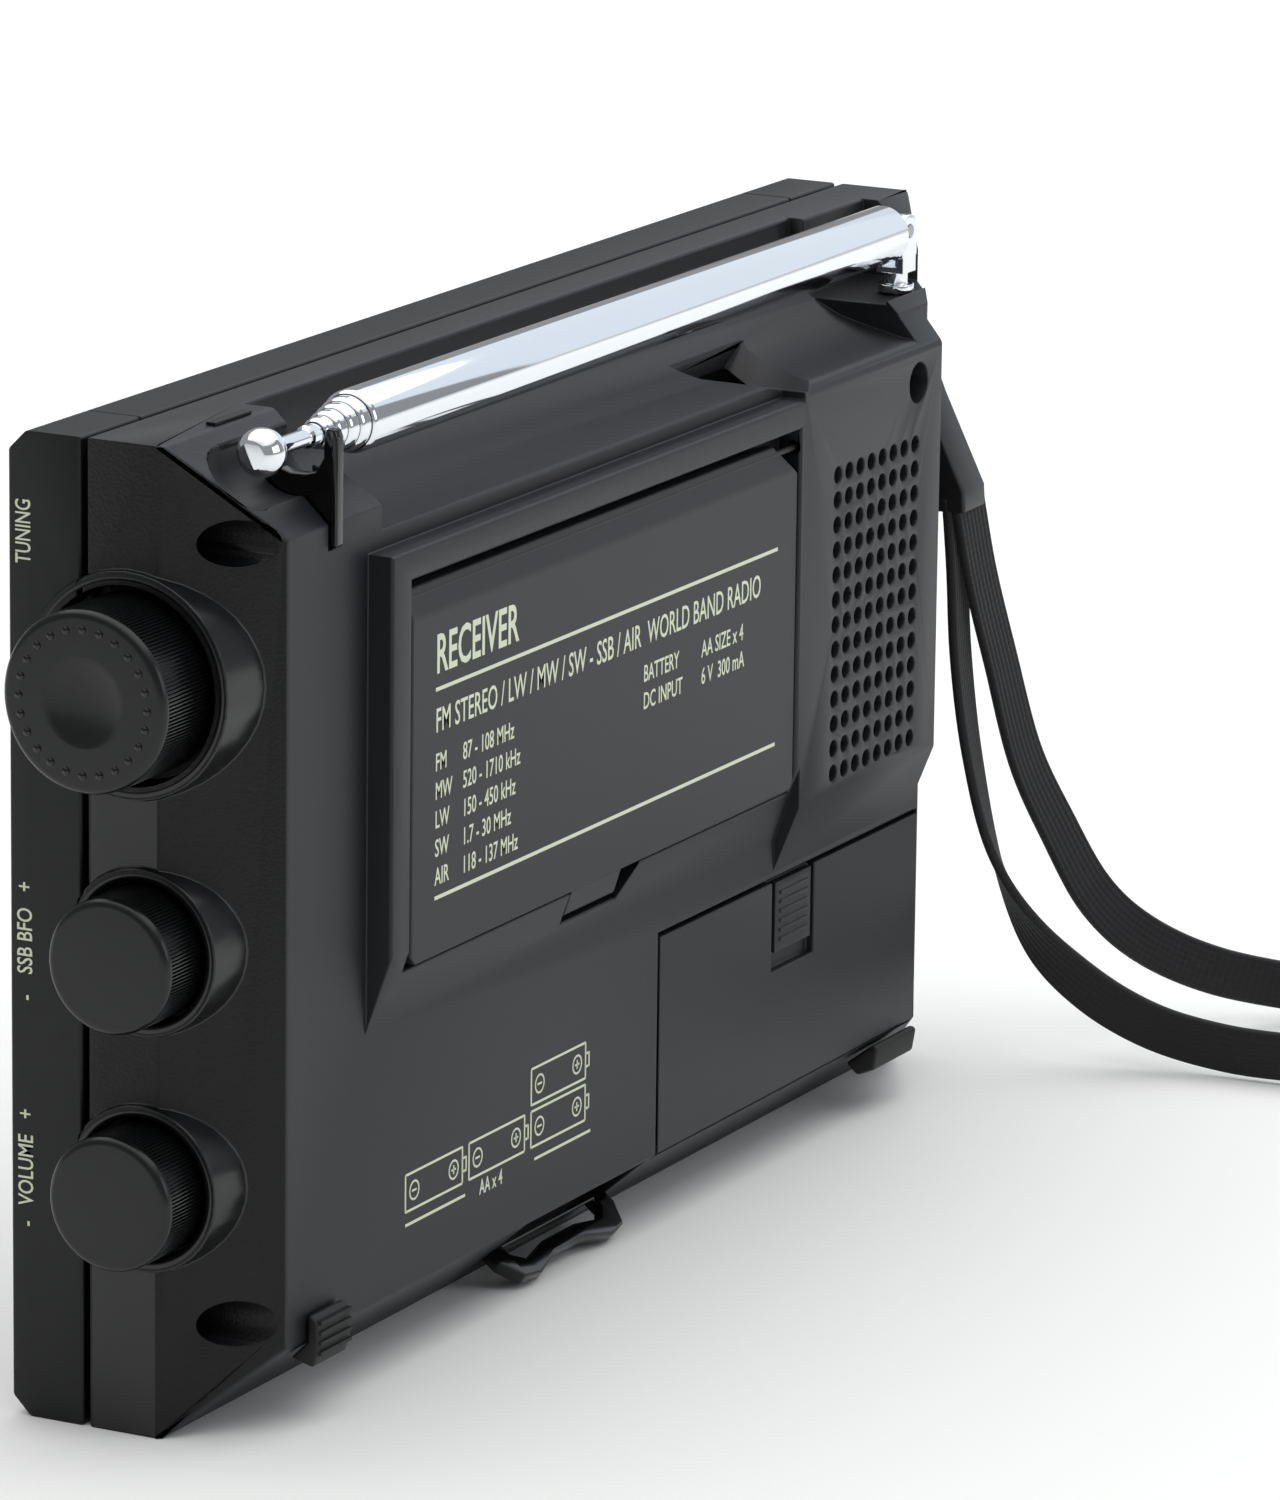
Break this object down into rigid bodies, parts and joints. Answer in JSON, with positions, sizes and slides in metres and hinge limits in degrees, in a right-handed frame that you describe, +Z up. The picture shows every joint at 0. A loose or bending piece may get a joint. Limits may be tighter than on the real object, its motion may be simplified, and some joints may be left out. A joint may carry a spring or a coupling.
{
  "type": "shortwave receiver",
  "caption": "Portable world-band radio with a telescopic antenna in a rear groove, a fold-out kickstand, side knobs, a battery door and a wrist strap.",
  "frame": {"origin": "on the resting plane, under the middle of the case's width, 3 mm in front of the flat base's rear edge", "axes": "+X towards the knob side, +Y towards the back with the antenna and the kickstand, +Z up"},
  "size_m": [0.2405, 0.1025, 0.116],
  "materials": {
    "case_plastic": "fine grain",
    "cheek_plastic": "satin",
    "dark_plastic": "satin",
    "foot_rubber": "matte",
    "key_silicone": "matte",
    "key_plastic": "satin",
    "antenna_chrome": "polished",
    "steel": "plain",
    "magnet_ferrite": "matte",
    "cone_paper": "matte",
    "window_clear": "gloss",
    "lcd_glass": "gloss",
    "board": "satin",
    "webbing": "woven"
  },
  "bodies": {
    "case": {"front_panel": "case_plastic", "back_shell": "case_plastic", "front_cheek_right": "cheek_plastic", "front_cheek_left": "cheek_plastic", "groove_inlay": "dark_plastic", "antenna_clip": "dark_plastic", "headphone_jack": "dark_plastic", "power_jack": "dark_plastic", "speaker_grille": "dark_plastic", "rear_foot_near": "foot_rubber", "rear_foot_far": "foot_rubber", "number_pad": "key_silicone", "kickstand_pin": "steel", "tuning_encoder": "steel", "bfo_pot": "steel", "volume_pot": "steel", "battery_contact_near": "steel", "battery_contact_far": "steel", "battery_contact_upper": "steel", "case_screw_top": "steel", "case_screw_bottom": "steel", "case_screw_far": "steel", "speaker_basket": "steel", "cell_1": "steel", "cell_2": "steel", "cell_3": "steel", "cell_4": "steel", "speaker_magnet": "magnet_ferrite", "ferrite_rod": "magnet_ferrite", "speaker_cone": "cone_paper", "display_window": "window_clear", "lcd_module": "lcd_glass", "main_board": "board", "wrist_strap": "webbing", "strap_crimp": "webbing"},
    "tuning": {"tuning_knob": "case_plastic", "tuning_shaft": "steel"},
    "bfo": {"bfo_knob": "case_plastic", "bfo_shaft": "steel"},
    "volume": {"volume_knob": "case_plastic", "volume_shaft": "steel"},
    "kickstand": {"kickstand": "case_plastic"},
    "battery_door": {"battery_door": "case_plastic"},
    "door_latch": {"door_latch": "dark_plastic"},
    "bail": {"fold_out_bail": "dark_plastic"},
    "antenna_swivel": {"antenna_post": "antenna_chrome", "antenna_pin": "steel"},
    "antenna_base_tube": {"antenna_tube": "antenna_chrome"},
    "antenna_section_2": {"antenna_section_2": "antenna_chrome"},
    "antenna_section_3": {"antenna_section_3": "antenna_chrome"},
    "antenna_section_4": {"antenna_section_4": "antenna_chrome"},
    "antenna_section_5": {"antenna_section_5": "antenna_chrome"},
    "antenna_end": {"antenna_rod": "antenna_chrome", "antenna_tip": "antenna_chrome"},
    "power_key": {"power_key": "key_plastic"},
    "light_key": {"light_key": "key_plastic"},
    "band_key": {"band_key": "key_plastic"},
    "page_key": {"page_key": "key_plastic"},
    "store_key": {"store_key": "key_plastic"},
    "gain_switch": {"gain_switch": "dark_plastic"}
  },
  "joints": [
    {"name": "tuning_turn", "type": "hinge", "parent": "case", "child": "tuning", "pos_m": [0.09, -0.0009, 0.0867], "axis": [1, 0, 0], "continuous": true},
    {"name": "bfo_turn", "type": "hinge", "parent": "case", "child": "bfo", "pos_m": [0.09, 0.0009, 0.0565], "axis": [1, 0, 0], "range_deg": [-140, 140]},
    {"name": "volume_turn", "type": "hinge", "parent": "case", "child": "volume", "pos_m": [0.09, 0.0009, 0.0292], "axis": [1, 0, 0], "range_deg": [-150, 150]},
    {"name": "kickstand_hinge", "type": "hinge", "parent": "case", "child": "kickstand", "pos_m": [0.0141, 0.0166, 0.0924], "axis": [1, 0, 0], "range_deg": [0, 60]},
    {"name": "battery_door_hinge", "type": "hinge", "parent": "case", "child": "battery_door", "pos_m": [-0.04075, 0.0134, 0.0109], "axis": [-1, 0, 0], "range_deg": [0, 85]},
    {"name": "door_latch_slide", "type": "slide", "parent": "battery_door", "child": "door_latch", "axis": [0, 0, -1], "range_m": [0, 0.0022], "stiffness_N_per_m": 400},
    {"name": "bail_hinge", "type": "hinge", "parent": "case", "child": "bail", "pos_m": [0.0115, 0.007, 0.0049], "axis": [1, 0, 0], "range_deg": [0, 78]},
    {"name": "antenna_turn", "type": "hinge", "parent": "case", "child": "antenna_swivel", "pos_m": [-0.0759, 0.0102, 0.104], "axis": [0, 0, 1], "range_deg": [0, 150], "deforming": ["antenna_clip"]},
    {"name": "antenna_raise", "type": "hinge", "parent": "antenna_swivel", "child": "antenna_base_tube", "pos_m": [-0.0759, 0.0102, 0.1123], "axis": [0, -1, 0], "range_deg": [0, 90]},
    {"name": "telescope_1", "type": "slide", "parent": "antenna_base_tube", "child": "antenna_section_2", "axis": [1, 0, 0], "range_m": [0, 0.112]},
    {"name": "telescope_2", "type": "slide", "parent": "antenna_section_2", "child": "antenna_section_3", "axis": [1, 0, 0], "range_m": [0, 0.112]},
    {"name": "telescope_3", "type": "slide", "parent": "antenna_section_3", "child": "antenna_section_4", "axis": [1, 0, 0], "range_m": [0, 0.112]},
    {"name": "telescope_4", "type": "slide", "parent": "antenna_section_4", "child": "antenna_section_5", "axis": [1, 0, 0], "range_m": [0, 0.112]},
    {"name": "telescope_5", "type": "slide", "parent": "antenna_section_5", "child": "antenna_end", "axis": [1, 0, 0], "range_m": [0, 0.112]},
    {"name": "power_key_press", "type": "slide", "parent": "case", "child": "power_key", "axis": [0, 1, 0], "range_m": [0, 0.0008], "stiffness_N_per_m": 1200},
    {"name": "light_key_press", "type": "slide", "parent": "case", "child": "light_key", "axis": [0, 1, 0], "range_m": [0, 0.0008], "stiffness_N_per_m": 1200},
    {"name": "band_key_press", "type": "slide", "parent": "case", "child": "band_key", "axis": [0, 1, 0], "range_m": [0, 0.0008], "stiffness_N_per_m": 1200},
    {"name": "page_key_press", "type": "slide", "parent": "case", "child": "page_key", "axis": [0, 1, 0], "range_m": [0, 0.0008], "stiffness_N_per_m": 1200},
    {"name": "store_key_press", "type": "slide", "parent": "case", "child": "store_key", "axis": [0, 1, 0], "range_m": [0, 0.0008], "stiffness_N_per_m": 1200},
    {"name": "gain_switch_slide", "type": "slide", "parent": "case", "child": "gain_switch", "axis": [0, 0, 1], "range_m": [0, 0.0035]}
  ]
}
